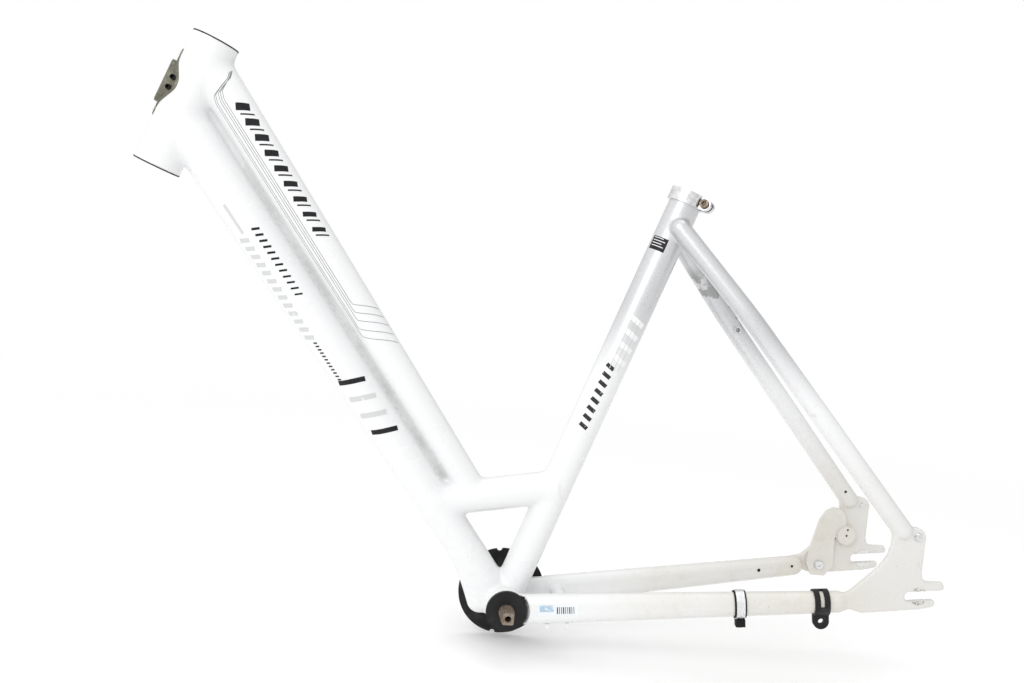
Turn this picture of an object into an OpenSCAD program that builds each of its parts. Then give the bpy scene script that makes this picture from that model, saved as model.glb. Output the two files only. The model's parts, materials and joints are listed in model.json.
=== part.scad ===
// Step-through bicycle frame with its bottom bracket, seat clamp and small fittings.
// Origin at the centre of the bottom bracket, +X to the rear, +Y to the drive side, +Z up.

/* [Frame layout] */
// Angle of the seat tube above the horizontal, degrees
seat_angle = 71.6; // [66:0.2:76]
// Length of the seat tube from the bottom bracket axis to its top
seat_length = 490; // [420:1:600]
// Angle of the head tube above the horizontal, degrees
head_angle = 69.7; // [66:0.2:74]
// Distance from the bottom bracket axis forward to the head tube's lower end
head_forward = 409.7; // [340:1:490]
// Height of the head tube's lower end above the bottom bracket axis
head_up = 433.3; // [360:1:520]
// Length of the head tube
head_length = 142; // [125:1:200]
// Distance from the bottom bracket axis to the rear axle
chainstay_length = 440; // [400:1:480]
// Drop of the bottom bracket below the rear axle
bottom_bracket_drop = 63; // [45:1:80]
// Gap between the hub seats of the two dropouts
hub_width = 135; // [125:1:145]

/* [Tubes] */
// Outer diameter of the head tube
head_tube_d = 49; // [48:0.5:56]
// Outer diameter of the seat tube
seat_tube_d = 34.9; // [34.5:0.1:38]
// Bore of the seat tube, for the seat post
seat_post_d = 31.6; // [30:0.1:31.8]
// Depth of the reamed seat post bore below the top of the seat tube
seat_bore_depth = 200; // [120:5:300]
// Diameter of the down tube at the head tube
down_tube_head_d = 49.6; // [42:0.2:54]
// Diameter of the down tube at the bottom bracket
down_tube_low_d = 36.8; // [34:0.2:42]
// Diameter of the top tube at the head tube
top_tube_head_d = 44; // [36:0.2:47]
// Diameter of the top tube at its lower end
top_tube_low_d = 30.2; // [28:0.2:36]
// Diameter of the short brace between the down tube and the seat tube
brace_d = 36.4; // [30:0.2:40]
// Diameter of the seat stays
seat_stay_d = 21; // [16:0.2:24]
// Thickness of the chainstays from side to side
chainstay_width = 21; // [18:0.2:24]
// Height of the chainstays at the bottom bracket
chainstay_front_h = 33; // [26:0.5:36]
// Height of the chainstays at the dropouts
chainstay_rear_h = 23; // [21:0.5:26]
// Wall of the main tubes
tube_wall = 2; // [1.4:0.1:2.6]
// Wall of the stays
stay_wall = 1.8; // [1.2:0.1:2.4]
// Thickness of the web between the top tube and the down tube
web_t = 5; // [3:0.5:10]
// Height up the head tube axis at which the down tube axis meets it
down_tube_join = 57; // [50:1:70]
// Distance below the top of the head tube at which the top tube axis meets it
top_tube_drop = 23; // [20:1:34]
// Distance up the seat tube axis at which the brace axis meets it
brace_join = 139; // [120:1:160]
// Angle of the brace above the horizontal, degrees
brace_angle = 11.2; // [5:0.2:16]
// Distance below the top of the seat tube at which the seat stays meet it
stay_drop = 40; // [30:1:90]

/* [Bottom bracket] */
// Width of the bottom bracket shell
shell_width = 68; // [68:1:73]
// Outer diameter of the bottom bracket shell
shell_d = 43; // [41:0.5:46]
// Bore of the bottom bracket shell
shell_bore_d = 34.8; // [34.6:0.1:36]
// Length of the spindle
spindle_length = 122; // [110:1:131]
// Diameter of the spindle inside the bearings
spindle_d = 17; // [16:0.5:18]
// Width across the flats at the spindle's ends
spindle_square = 12.6; // [12:0.1:13]
// Diameter of the round plate behind the bottom bracket
guard_plate_d = 98; // [80:1:130]
// Thickness of the round plate
guard_plate_t = 3; // [2:0.5:5]
// Number of balls in each bearing
ball_count = 11; // [8:1:12]

/* [Rear end] */
// Thickness of the dropout plates
dropout_t = 6.5; // [5:0.5:8]
// Width of the axle slots
axle_slot_w = 10.4; // [9.6:0.1:11]
// Tilt of the axle slots above the horizontal, degrees
axle_slot_tilt = 7; // [0:0.5:12]
// Diameter of the raised hub seats on the inner side of the axle slots
hub_seat_d = 20; // [18:0.5:24]
// Height of the hub seats
hub_seat_t = 0.5; // [0.3:0.1:1]
// Diameter of the thread in the mudguard eyelets
eyelet_d = 5; // [4:0.5:6]
// Thickness of the chain case bracket
bracket_t = 4; // [3:0.5:5]

/* [Seat clamp] */
// Height of the clamp collar
collar_h = 14; // [12:1:20]
// Wall of the clamp collar
collar_wall = 2.8; // [2.2:0.1:4]
// Turn of the collar's ears from straight back towards the left, degrees
collar_turn = 36; // [0:1:60]
// Diameter of the clamp bolt
clamp_bolt_d = 6; // [5:0.5:6]

/* [Fits] */
// Gap between pieces that are fixed together
fixed_gap = 0.05; // [0.02:0.01:0.1]
// Radial clearance between pieces that turn in each other
running_gap = 0.06; // [0.03:0.01:0.1]
// Gap between moving pieces and what they pass
free_gap = 0.5; // [0.3:0.1:1]

/* [Hidden] */
$fn = 96;
overlap = 1;

paint_white = [0.95, 0.95, 0.94];
paint_silver = [0.78, 0.79, 0.80];
black_plastic = [0.07, 0.07, 0.08];
bright_steel = [0.80, 0.80, 0.82];
dull_steel = [0.48, 0.43, 0.38];
olive_metal = [0.36, 0.34, 0.24];
rubber_black = [0.05, 0.05, 0.05];

// Main points and directions in the frame's middle plane
seat_dir = [cos(seat_angle), 0, sin(seat_angle)];
head_dir = [cos(head_angle), 0, sin(head_angle)];
head_low = [-head_forward, 0, head_up];
axle_x = sqrt(chainstay_length * chainstay_length - bottom_bracket_drop * bottom_bracket_drop);
axle_z = bottom_bracket_drop;
down_tube_top = head_low + down_tube_join * head_dir;
down_tube_low = [-2.7, 0, -2.2];
top_tube_top = head_low + (head_length - top_tube_drop) * head_dir;
brace_dir = [cos(brace_angle), 0, sin(brace_angle)];
brace_rear = brace_join * seat_dir;

// Point where a line through p along d meets a line through q along e, in the middle plane
function meet(p, d, q, e) =
    let (k = ((q.x - p.x) * e.z - (q.z - p.z) * e.x) / (d.x * e.z - d.z * e.x)) p + k * d;
// How far along the brace's axis, from its rear end, the top tube's axis ends
top_tube_foot = 0.655;
brace_front = meet(brace_rear, brace_dir, down_tube_low, down_tube_top - down_tube_low);
top_tube_low = brace_rear - top_tube_foot * (brace_rear.x - brace_front.x) * brace_dir / brace_dir.x;

// Rear end: the plates' middle planes and the stays' ends, for the right side
stay_join = seat_length - stay_drop;
dropout_in = hub_width / 2 + hub_seat_t;
dropout_y = dropout_in + dropout_t / 2;
stay_top = [stay_join * seat_dir.x + 3, 19, stay_join * seat_dir.z];
stay_low = [axle_x - 26, dropout_y - 0.4, axle_z + 69.5];
chainstay_front = [16, 28, 1];
chainstay_rear = [axle_x - 82, dropout_y - 4.5, axle_z - 14.5];

// Bottom bracket: one bearing's radii and places
shell_r = shell_d / 2;
thread_r = shell_bore_d / 2 - fixed_gap;
cup_bore_r = thread_r - 1.4;
sleeve_r = cup_bore_r - fixed_gap;
sleeve_bore_r = sleeve_r - 1.2;
race_out_r = sleeve_bore_r - fixed_gap;
race_in_r = spindle_d / 2 + fixed_gap;
ball_path_r = (race_out_r + race_in_r) / 2;
race_wall = 0.99;
ball_r = (race_out_r - race_in_r) / 2 - race_wall - running_gap;
groove_r = ball_r + running_gap;
race_gap = 0.525 * ball_r;
bearing_w = 8;
bearing_y = shell_width / 2 - 12;
cup_flange_t = 4;
cup_flange_r = shell_r + 0.5;
cup_right_flange_t = 2.6;
insert_depth = 15;

// Seat clamp
seat_r = seat_tube_d / 2;
collar_r = seat_r + running_gap + collar_wall;
collar_low = seat_length - collar_h + 2;
ear_reach = seat_r + running_gap + clamp_bolt_d / 2 + 3.6;
ear_r = 6.6;
ear_half = 7.4;
ear_slit = 3;
bolt_r = clamp_bolt_d / 2;

// Puts its children in the head tube's own frame: +Z up the tube, -X to the front
module in_head() translate(head_low) rotate([0, 90 - head_angle, 0]) children();
// Puts its children in the seat tube's own frame: +Z up the tube, +X to the rear
module in_seat() rotate([0, 90 - seat_angle, 0]) children();
// Turns its children's Z axis to the Y axis, pointing to the drive side
module along_y() rotate([-90, 0, 0]) children();
// Both sides: its children and their mirror image
module both_sides() {
    children();
    mirror([0, 1, 0]) children();
}
// Puts its children at p with their Z axis pointing at q
module aim(p, q) {
    v = q - p;
    translate(p) rotate([0, acos(v.z / norm(v)), atan2(v.y, v.x)]) children();
}
module cone_between(p, q, r1, r2) aim(p, q) cylinder(h = norm(q - p), r1 = r1, r2 = r2);
// A slot of width w from p to q in the XZ plane, as a flat outline
module slot_outline(p, q, w) {
    v = q - p;
    translate(p) circle(d = w);
    translate(p) rotate(atan2(v.y, v.x)) translate([0, -w / 2]) square([norm(v), w]);
    translate(q) circle(d = w);
}
// Raises an outline drawn in X and Z into a plate of thickness t, centred on y
module plate_xz(y, t) translate([0, y + t / 2, 0]) rotate([90, 0, 0]) linear_extrude(t) children();

// The space that each tube takes up, used to mitre its neighbours
module head_space() in_head() translate([0, 0, -overlap])
    cylinder(h = head_length + 2 * overlap, r = head_tube_d / 2);
module seat_space() in_seat() cylinder(h = seat_length, r = seat_r);
module down_space() cone_between(down_tube_top, down_tube_low, down_tube_head_d / 2, down_tube_low_d / 2);
module brace_space() cone_between(brace_front, brace_rear, brace_d / 2, brace_d / 2);
module shell_space() translate([0, -shell_width / 2, 0]) along_y() cylinder(h = shell_width, r = shell_r);
module flange_space() translate([0, -shell_width, 0]) along_y()
    cylinder(h = 2 * shell_width, r = cup_flange_r + free_gap);

module head_tube() color(paint_white) difference() {
    in_head() cylinder(h = head_length, r = head_tube_d / 2);
    in_head() translate([0, 0, -overlap]) cylinder(h = head_length + 2 * overlap, r = cup_outer_r + fixed_gap);
    in_head() translate([0, 0, cup_depth + 6])
        cylinder(h = head_length - 2 * cup_depth - 12, r = cup_outer_r + 0.5);
    cable_port_holes();
}

// Headset cups: pressed in the ends of the head tube, with a thin lip outside
cup_outer_r = 21.95;
cup_depth = 12;
cup_lip_t = 1.4;
cup_seat_r = 20.9;
cup_seat_h = 8;
module headset_cup() difference() {
    union() {
        translate([0, 0, -cup_depth]) cylinder(h = cup_depth, r = cup_outer_r);
        cylinder(h = cup_lip_t, r = head_tube_d / 2 + 0.3);
    }
    translate([0, 0, cup_lip_t - cup_seat_h]) cylinder(h = cup_seat_h + overlap, r = cup_seat_r);
    translate([0, 0, -cup_depth - overlap]) cylinder(h = cup_depth + 2 * overlap, r = cup_seat_r - 2.4);
}
module headset_cup_upper() color(black_plastic) in_head() translate([0, 0, head_length]) headset_cup();
module headset_cup_lower() color(black_plastic) in_head() mirror([0, 0, 1]) headset_cup();

// Cable guide: a saddle on the front of the head tube, with two cable ports on each side
guide_drop = 59;
guide_mid = head_length - guide_drop;
guide_half_l = 37.5;
guide_end_half_w = 5;
guide_half_w = 22.5;
guide_t = 1.6;
guide_boss_t = 6;
port_d = 5.6;
port_front = 17.6;
port_pitch = 11;
module cable_port_holes() in_head() for (k = [-0.5, 0.5])
    translate([-port_front, 0, guide_mid + k * port_pitch]) rotate([90, 0, 0])
        cylinder(h = 3 * guide_half_w, d = port_d, center = true);
module guide_outline(half_w, half_l) {
    intersection() {
        translate([half_w - guide_disc_r(half_w, half_l), 0]) circle(r = guide_disc_r(half_w, half_l));
        translate([guide_disc_r(half_w, half_l) - half_w, 0]) circle(r = guide_disc_r(half_w, half_l));
    }
}
// Radius of the two circles whose overlap is a lens of the given half width and half length
function guide_disc_r(half_w, half_l) = (half_w * half_w + half_l * half_l) / (2 * half_w);
module guide_prism() translate([0, 0, guide_mid]) rotate([0, -90, 0]) linear_extrude(head_tube_d)
    rotate(90) children();
module cable_guide() color(olive_metal) difference() {
    in_head() intersection() {
        union() {
            difference() {
                cylinder(h = head_length, r = head_tube_d / 2 + fixed_gap + guide_t);
                translate([0, 0, -overlap]) cylinder(h = head_length + 2 * overlap, r = head_tube_d / 2 + fixed_gap);
            }
            difference() {
                intersection() {
                    cylinder(h = head_length, r = head_tube_d / 2 + guide_boss_t);
                    guide_prism() guide_outline(guide_half_w - 4, guide_half_l - 14);
                }
                translate([0, 0, -overlap]) cylinder(h = head_length + 2 * overlap, r = head_tube_d / 2 + fixed_gap);
            }
        }
        guide_prism() union() {
            guide_outline(guide_half_w, guide_half_l - 8);
            translate([-guide_end_half_w, -guide_half_l + guide_end_half_w])
                square([2 * guide_end_half_w, 2 * (guide_half_l - guide_end_half_w)]);
            for (s = [-1, 1]) translate([0, s * (guide_half_l - guide_end_half_w)]) circle(r = guide_end_half_w);
        }
    }
    cable_port_holes();
    guide_screw_holes();
}
guide_screw_pitch = 2 * (guide_half_l - guide_end_half_w - 1);
guide_screw_d = 3;
module at_guide_screws() in_head() for (s = [-0.5, 0.5])
    translate([-head_tube_d / 2 - fixed_gap, 0, guide_mid + s * guide_screw_pitch]) rotate([0, -90, 0]) children();
module guide_screw_holes() at_guide_screws() translate([0, 0, -overlap])
    cylinder(h = guide_t + 2 * overlap, d = guide_screw_d + 2 * fixed_gap);
module cable_guide_screws() color(bright_steel) difference() {
    at_guide_screws() {
        cylinder(h = guide_t + overlap, d = guide_screw_d);
        translate([0, 0, guide_t + fixed_gap]) cylinder(h = 1.6, r1 = 2.9, r2 = 2.2);
    }
    at_guide_screws() translate([0, 0, guide_t + 0.8]) cylinder(h = 2, d = 2, $fn = 6);
}

module top_tube() color(paint_white) difference() {
    cone_between(top_tube_top, top_tube_low, top_tube_head_d / 2, top_tube_low_d / 2);
    cone_between(top_tube_top, top_tube_low, top_tube_head_d / 2 - tube_wall, top_tube_low_d / 2 - tube_wall);
    head_space();
    brace_space();
    down_space();
}

module down_tube() color(paint_white) difference() {
    down_space();
    cone_between(down_tube_top, down_tube_low, down_tube_head_d / 2 - tube_wall, down_tube_low_d / 2 - tube_wall);
    head_space();
    shell_space();
    seat_space();
}

// Web: a narrow strip that closes the groove between the two main tubes
web_start = 14;
web_stop = 478;
web_lead = 20;
function along(p, q, s) = p + s * (q - p) / norm(q - p);
module tube_web() color(paint_white) difference() {
    plate_xz(0, web_t) polygon([for (p = [along(down_tube_top, down_tube_low, web_start),
                                          along(down_tube_top, down_tube_low, web_stop),
                                          along(top_tube_top, top_tube_low, web_stop + web_lead),
                                          along(top_tube_top, top_tube_low, web_start + web_lead)]) [p.x, p.z]]);
    down_space();
    cone_between(top_tube_top, top_tube_low, top_tube_head_d / 2, top_tube_low_d / 2);
    head_space();
    brace_space();
}

module brace_tube() color(paint_white) difference() {
    brace_space();
    cone_between(brace_front, brace_rear, brace_d / 2 - tube_wall, brace_d / 2 - tube_wall);
    down_space();
    seat_space();
}

module seat_tube() color(paint_silver) difference() {
    seat_space();
    in_seat() translate([0, 0, seat_length - seat_bore_depth]) cylinder(h = seat_bore_depth + overlap, d = seat_post_d);
    in_seat() translate([0, 0, -overlap])
        cylinder(h = seat_length - seat_bore_depth + 2 * overlap, d = seat_post_d + 0.6);
    in_seat() translate([0, -slit_w / 2, seat_length - slit_l])
        cube([seat_tube_d, slit_w, slit_l + overlap]);
    in_seat() translate([0, 0, seat_length - slit_l]) rotate([0, 90, 0]) cylinder(h = seat_tube_d, r = slit_w);
    shell_space();
}
slit_w = 2.4;
slit_l = 18;

module bottom_bracket_shell() color(paint_white) difference() {
    shell_space();
    translate([0, -shell_width / 2 - overlap, 0]) along_y()
        cylinder(h = shell_width + 2 * overlap, d = shell_bore_d);
}

// Gusset: the rounded swelling under the down tube, in front of the bottom bracket
gusset_r = 14;
gusset_top = [-47, 0, 50];
gusset_low = [-27, 0, -1];
module bottom_bracket_gusset() color(paint_white) difference() {
    union() {
        cone_between(gusset_top, gusset_low, gusset_r, gusset_r);
        cone_between(gusset_low, along(gusset_low, 2 * gusset_low - gusset_top, 9), gusset_r, gusset_r - 6);
    }
    down_space();
    shell_space();
    seat_space();
}

// Chainstay: a tall oval tube that gets lower towards the rear, for the right side
module chainstay_solid(inset) {
    half_w = chainstay_width / 2 - inset;
    rise_front = chainstay_front_h / 2 - chainstay_width / 2;
    rise_rear = chainstay_rear_h / 2 - chainstay_width / 2;
    run = norm(chainstay_rear - chainstay_front);
    aim(chainstay_front, chainstay_rear) {
        for (s = [-1, 1]) cone_between([s * rise_front, 0, 0], [s * rise_rear, 0, run], half_w, half_w);
        translate([0, half_w - 0.15, 0]) rotate([90, 0, 0]) linear_extrude(2 * half_w - 0.3)
            polygon([[-rise_front, 0], [rise_front, 0], [rise_rear, run], [-rise_rear, run]]);
    }
}
vent_d = 3;
plate_space_r = guard_plate_d / 2 + 1.5;
module chainstay_right_solid() difference() {
    chainstay_solid(0);
    difference() {
        chainstay_solid(stay_wall);
        translate([chainstay_rear.x - 16, 0, -100]) cube([200, 200, 300]);
        translate([-200, 0, -100]) cube([200 + plate_space_r + 6, 200, 300]);
    }
    shell_space();
    flange_space();
    seat_space();
    down_space();
    dropout_space();
    for (back = [17, 51]) translate([chainstay_rear.x - back, 0, on_left_stay(chainstay_rear.x - back).z])
        along_y() cylinder(h = dropout_y - 8, d = vent_d);
}
module chainstay_left() color(paint_white) mirror([0, 1, 0]) chainstay_right_solid();
module chainstay_right() color(paint_white) difference() {
    chainstay_right_solid();
    translate([0, shell_width / 2 - free_gap, 0]) along_y() cylinder(h = shell_width, r = plate_space_r);
}

bridge_x = 62;
bridge_d = 14;
module chainstay_bridge() color(paint_white) difference() {
    translate([bridge_x, -40, on_left_stay(bridge_x).z]) along_y() difference() {
        cylinder(h = 80, d = bridge_d);
        translate([0, 0, -overlap]) cylinder(h = 80 + 2 * overlap, d = bridge_d - 2 * stay_wall);
    }
    both_sides() chainstay_solid(0);
}

// Seat stay: round tube that spreads from the seat tube, bends, and runs down to the dropout
stay_slope = atan((stay_top.z - stay_low.z) / (stay_low.x - stay_top.x));
stay_run = norm([stay_low.x - stay_top.x, stay_low.z - stay_top.z]);
stay_bend_s = 0.3 * stay_run;
stay_bend_r = 190;
stay_bend_y = 0.74 * stay_low.y;
stay_a1 = atan((stay_bend_y - stay_top.y) / stay_bend_s);
stay_a2 = atan((stay_low.y - stay_bend_y) / (stay_run - stay_bend_s));
stay_tangent = stay_bend_r * tan((stay_a1 - stay_a2) / 2);
// The stay's own plane: +X sideways, +Z down along the stay
module in_stay() translate([stay_top.x, 0, stay_top.z]) rotate([0, 90 + stay_slope, 0]) rotate(90) children();
module seat_stay_solid(r, start, stop) in_stay() {
    l1 = stay_bend_s / cos(stay_a1) - stay_tangent;
    l2 = (stay_run - stay_bend_s) / cos(stay_a2) - stay_tangent;
    translate([stay_top.y, 0, 0]) rotate([0, stay_a1, 0]) translate([0, 0, start])
        cylinder(h = l1 - start + overlap, r = r);
    translate([stay_bend_y, 0, stay_bend_s]) rotate([0, stay_a1, 0]) translate([-stay_bend_r, 0, -stay_tangent])
        rotate([90, 0, 0]) rotate_extrude(angle = stay_a1 - stay_a2) translate([stay_bend_r, 0])
            circle(r = r + 0.03);
    translate([stay_bend_y, 0, stay_bend_s]) rotate([0, stay_a2, 0]) translate([0, 0, stay_tangent - overlap])
        cylinder(h = l2 - stop + overlap, r = r);
}
module seat_stay_right_solid() difference() {
    union() {
        seat_stay_solid(seat_stay_d / 2, 0, 0);
        in_stay() translate([stay_top.y, 0, 0]) rotate([0, stay_a1, 0]) translate([0, 0, -5])
            cylinder(h = 5, r1 = seat_stay_d / 2 - 4, r2 = seat_stay_d / 2);
    }
    seat_stay_solid(seat_stay_d / 2 - stay_wall, 32, 24);
    seat_space();
    dropout_space();
    translate([stay_low.x - 20, 0, stay_low.z + 22.5]) along_y() cylinder(h = dropout_y - 4, d = vent_d);
}
module seatstay_left() color(paint_silver) mirror([0, 1, 0]) seat_stay_right_solid();
module seatstay_right() color(paint_silver) seat_stay_right_solid();

// Dropout: a flat plate with the axle slot, the eyelet and a deep hollow front edge
slot_end = [axle_x - 10, axle_z - 1.2];
slot_mouth = slot_end + 60 * [cos(axle_slot_tilt), sin(axle_slot_tilt)];
eyelet_at = [axle_x - 9.4, axle_z + 64];
eyelet_boss_r = 9;
module dropout_outline() difference() {
    union() {
        polygon([for (p = [[-88, -23.5], [-74, -20], [-60, -23], [4, -14], [18, -10], [19, -4.5],
                           [10, 1.5], [26, 7], [27, 12.5], [25, 16.6], [6, 16.2], [1.5, 20], [0.2, 28],
                           [-0.6, 64], [-9.4, 73], [-18, 74], [-36, 70], [-36, 53], [-38.5, 41],
                           [-46, 29], [-59, 15.5], [-76, -1.5], [-88, -5.5]]) p + [axle_x, axle_z]]);
        translate(eyelet_at) circle(r = eyelet_boss_r);
    }
    slot_outline(slot_end, slot_mouth, axle_slot_w);
}
module dropout_space() plate_xz(dropout_y, dropout_t) dropout_outline();
module hub_seat() plate_xz(hub_width / 2 + (hub_seat_t + overlap) / 2, hub_seat_t + overlap) difference() {
    translate([axle_x, axle_z]) circle(d = hub_seat_d);
    slot_outline(slot_end, slot_mouth, axle_slot_w);
}
module dropout_right_solid() difference() {
    union() {
        dropout_space();
        hub_seat();
    }
    translate([eyelet_at.x, 0, eyelet_at.y]) along_y() cylinder(h = 2 * dropout_y, r = eyelet_d / 2 + fixed_gap);
}
module dropout_left() color(paint_white) mirror([0, 1, 0]) dropout_right_solid();
module dropout_right() color(paint_white) dropout_right_solid();

// Lock bosses: a threaded stud on the inner side of each seat stay
boss_s = 0.355 * stay_run;
boss_r = 4.2;
boss_reach = 9;
module lock_bosses() color(paint_silver) both_sides() difference() {
    in_stay() translate([stay_bend_y - seat_stay_d / 2 - boss_reach + 5, 0, boss_s]) rotate([0, 90, 0]) difference() {
        cylinder(h = boss_reach, r = boss_r);
        translate([0, 0, -overlap]) cylinder(h = boss_reach - 1, d = 5);
    }
    seat_stay_solid(seat_stay_d / 2, 0, 0);
}

// Chain case bracket: a plate inside the right dropout, with a round boss
bracket_y = dropout_in - bracket_t / 2 - fixed_gap;
bracket_bolt_at = [axle_x - 56, axle_z - 11];
bracket_boss_at = [axle_x - 26.5, axle_z + 27];
bracket_boss_r = 12;
module chain_case_bracket() color(paint_white) difference() {
    union() {
        plate_xz(bracket_y, bracket_t) union() {
            polygon([for (p = [[-71, -10], [-68, 10], [-63, 32], [-60, 44], [-54, 54], [-46, 59], [-37, 58.5],
                               [-30, 53], [-27, 40], [-40, 22], [-38, -12], [-47, -24], [-64, -24]])
                     p + [axle_x, axle_z]]);
            translate(bracket_boss_at) circle(r = bracket_boss_r);
        }
        translate([bracket_boss_at.x, bracket_y - bracket_t / 2 - 2.5, bracket_boss_at.y]) along_y()
            cylinder(h = bracket_t, r = bracket_boss_r - 1);
    }
    for (dz = [0, 7]) translate([bracket_boss_at.x + 0.1 * dz, 0, bracket_boss_at.y + dz]) along_y()
        cylinder(h = hub_width, d = 3);
    at_bracket_bolt() cylinder(h = hub_width, d = 6 + 2 * fixed_gap, center = true);
}
module at_bracket_bolt() translate([bracket_bolt_at.x, bracket_y - bracket_t / 2, bracket_bolt_at.y])
    rotate([90, 0, 0]) children();
module chain_case_bracket_bolts() color(bright_steel) at_bracket_bolt() difference() {
    union() {
        translate([0, 0, fixed_gap]) cylinder(h = 4, r1 = 6, r2 = 4.6);
        translate([0, 0, -bracket_t]) cylinder(h = bracket_t + overlap, d = 6);
    }
    translate([0, 0, 2]) cylinder(h = 4, d = 4.6, $fn = 6);
}

// Eyelet bolts: a button-head bolt screwed in the eyelet of each dropout
module eyelet_bolts() color(bright_steel) both_sides()
    translate([eyelet_at.x, dropout_in + dropout_t, eyelet_at.y]) rotate([-90, 0, 0]) difference() {
        union() {
            translate([0, 0, fixed_gap]) cylinder(h = 3, r1 = 4.9, r2 = 3.6);
            translate([0, 0, -dropout_t - 1.5]) cylinder(h = dropout_t + 2.5, d = eyelet_d);
        }
        translate([0, 0, 1.4]) cylinder(h = 3, d = 3.4, $fn = 6);
    }

// Seat clamp: split collar with two ears, a socket bolt and a barrel nut
module in_clamp() in_seat() translate([0, 0, collar_low]) rotate(-collar_turn) children();
module ear_outline() {
    translate([ear_reach, collar_h / 2]) circle(r = ear_r);
    translate([0, collar_h / 2 - ear_r]) square([ear_reach, 2 * ear_r]);
}
module seat_clamp_collar() color(bright_steel) in_clamp() difference() {
    union() {
        cylinder(h = collar_h, r = collar_r);
        translate([0, ear_half, 0]) rotate([90, 0, 0]) linear_extrude(2 * ear_half) ear_outline();
    }
    translate([0, 0, -overlap]) cylinder(h = collar_h + 2 * overlap, r = seat_r + running_gap);
    translate([0, -ear_slit / 2, -overlap]) cube([3 * ear_reach, ear_slit, collar_h + 2 * overlap]);
    at_clamp_bolt() {
        cylinder(h = 3 * ear_half, r = bolt_r + running_gap, center = true);
        translate([0, 0, ear_half - bolt_sink]) cylinder(h = ear_half, r = bolt_head_r + free_gap);
        translate([0, 0, -ear_half - nut_t + nut_sink]) cylinder(h = nut_t, r = nut_r + fixed_gap);
    }
}
bolt_sink = 2;
bolt_head_r = 4.9;
bolt_head_t = 5;
nut_r = 4.8;
nut_t = 4;
nut_sink = 2;
// The bolt's axis, with +Z pointing out of its head, on the left
module at_clamp_bolt() translate([ear_reach, 0, collar_h / 2]) rotate([90, 0, 0]) children();
module seat_clamp_bolt() color(dull_steel) in_clamp() at_clamp_bolt() difference() {
    union() {
        translate([0, 0, ear_half - bolt_sink + running_gap]) cylinder(h = bolt_head_t, r = bolt_head_r);
        translate([0, 0, -ear_half - 1]) cylinder(h = 2 * ear_half, r = bolt_r);
    }
    translate([0, 0, ear_half - bolt_sink + bolt_head_t - 3]) cylinder(h = 4, d = 5.8, $fn = 6);
}
module seat_clamp_nut() color(dull_steel) in_clamp() at_clamp_bolt()
    translate([0, 0, -ear_half - nut_t + nut_sink]) difference() {
        cylinder(h = nut_t, r = nut_r);
        translate([0, 0, -overlap]) cylinder(h = nut_t + 2 * overlap, r = bolt_r + running_gap);
    }

// Bottom bracket cups: threaded inserts with a flange outside the shell
module cup_solid(flange_r, flange_t, stand_off) difference() {
    union() {
        translate([0, 0, stand_off]) cylinder(h = flange_t, r = flange_r);
        translate([0, 0, -insert_depth]) cylinder(h = insert_depth + stand_off + flange_t / 2, r = thread_r);
    }
    translate([0, 0, -insert_depth - overlap]) cylinder(h = insert_depth + overlap - 2, r = cup_bore_r);
    translate([0, 0, -insert_depth]) cylinder(h = 4 * insert_depth, r = spindle_d / 2 + free_gap);
}
module cup_left() color(black_plastic) translate([0, -shell_width / 2, 0]) rotate([90, 0, 0])
    cup_solid(cup_flange_r, cup_flange_t, fixed_gap);
module cup_right() color(bright_steel) translate([0, shell_width / 2, 0]) along_y()
    cup_solid(cup_flange_r - 1, cup_right_flange_t, guard_plate_t + 2 * fixed_gap);

// Cartridge sleeve: holds both bearings inside the cups
sleeve_half = shell_width / 2 - 2 - fixed_gap;
module cartridge_sleeve() color(bright_steel) along_y() difference() {
    cylinder(h = 2 * sleeve_half, r = sleeve_r, center = true);
    cylinder(h = 2 * sleeve_half + 2 * overlap, r = sleeve_bore_r, center = true);
}

// Square taper end of the spindle, along +Z from z = 0
taper_l = 18;
module square_taper() {
    wide = spindle_square / 2 + taper_l * tan(2);
    intersection_for (turn = [0, 90]) rotate(turn) rotate([90, 0, 0])
        linear_extrude(4 * wide, center = true)
            polygon([[-wide, 0], [wide, 0], [spindle_square / 2, taper_l], [-spindle_square / 2, taper_l]]);
}
crank_bolt_d = 6.8;
crank_bolt_depth = 22;
spindle_round_half = spindle_length / 2 - taper_l;
module spindle() color(dull_steel) along_y() difference() {
    union() {
        cylinder(h = 2 * spindle_round_half, d = spindle_d - 2 * running_gap, center = true);
        for (s = [0, 1]) mirror([0, 0, s]) translate([0, 0, spindle_round_half]) intersection() {
            square_taper();
            cylinder(h = taper_l, d1 = spindle_d - 2 * running_gap, d2 = spindle_d - 1);
        }
    }
    for (s = [0, 1]) mirror([0, 0, s]) translate([0, 0, spindle_length / 2 - crank_bolt_depth])
        cylinder(h = crank_bolt_depth + overlap, d = crank_bolt_d);
}

// One bearing, centred on the origin with its axis along Z
module ball_groove() rotate_extrude() translate([ball_path_r, 0]) circle(r = groove_r);
module outer_race() difference() {
    cylinder(h = bearing_w, r = race_out_r, center = true);
    cylinder(h = bearing_w + 2 * overlap, r = ball_path_r + race_gap, center = true);
    ball_groove();
}
module inner_race() difference() {
    cylinder(h = bearing_w, r = ball_path_r - race_gap, center = true);
    cylinder(h = bearing_w + 2 * overlap, r = race_in_r, center = true);
    ball_groove();
}
module at_balls() for (k = [0 : ball_count - 1]) rotate(k * 360 / ball_count) translate([ball_path_r, 0, 0]) children();
module cage() difference() {
    cylinder(h = bearing_w - 3, r = ball_path_r + race_gap / 2, center = true);
    cylinder(h = bearing_w, r = ball_path_r - race_gap / 2, center = true);
    at_balls() rotate([0, 90, 0]) cylinder(h = 4 * ball_r, r = ball_r + fixed_gap, center = true);
}
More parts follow.
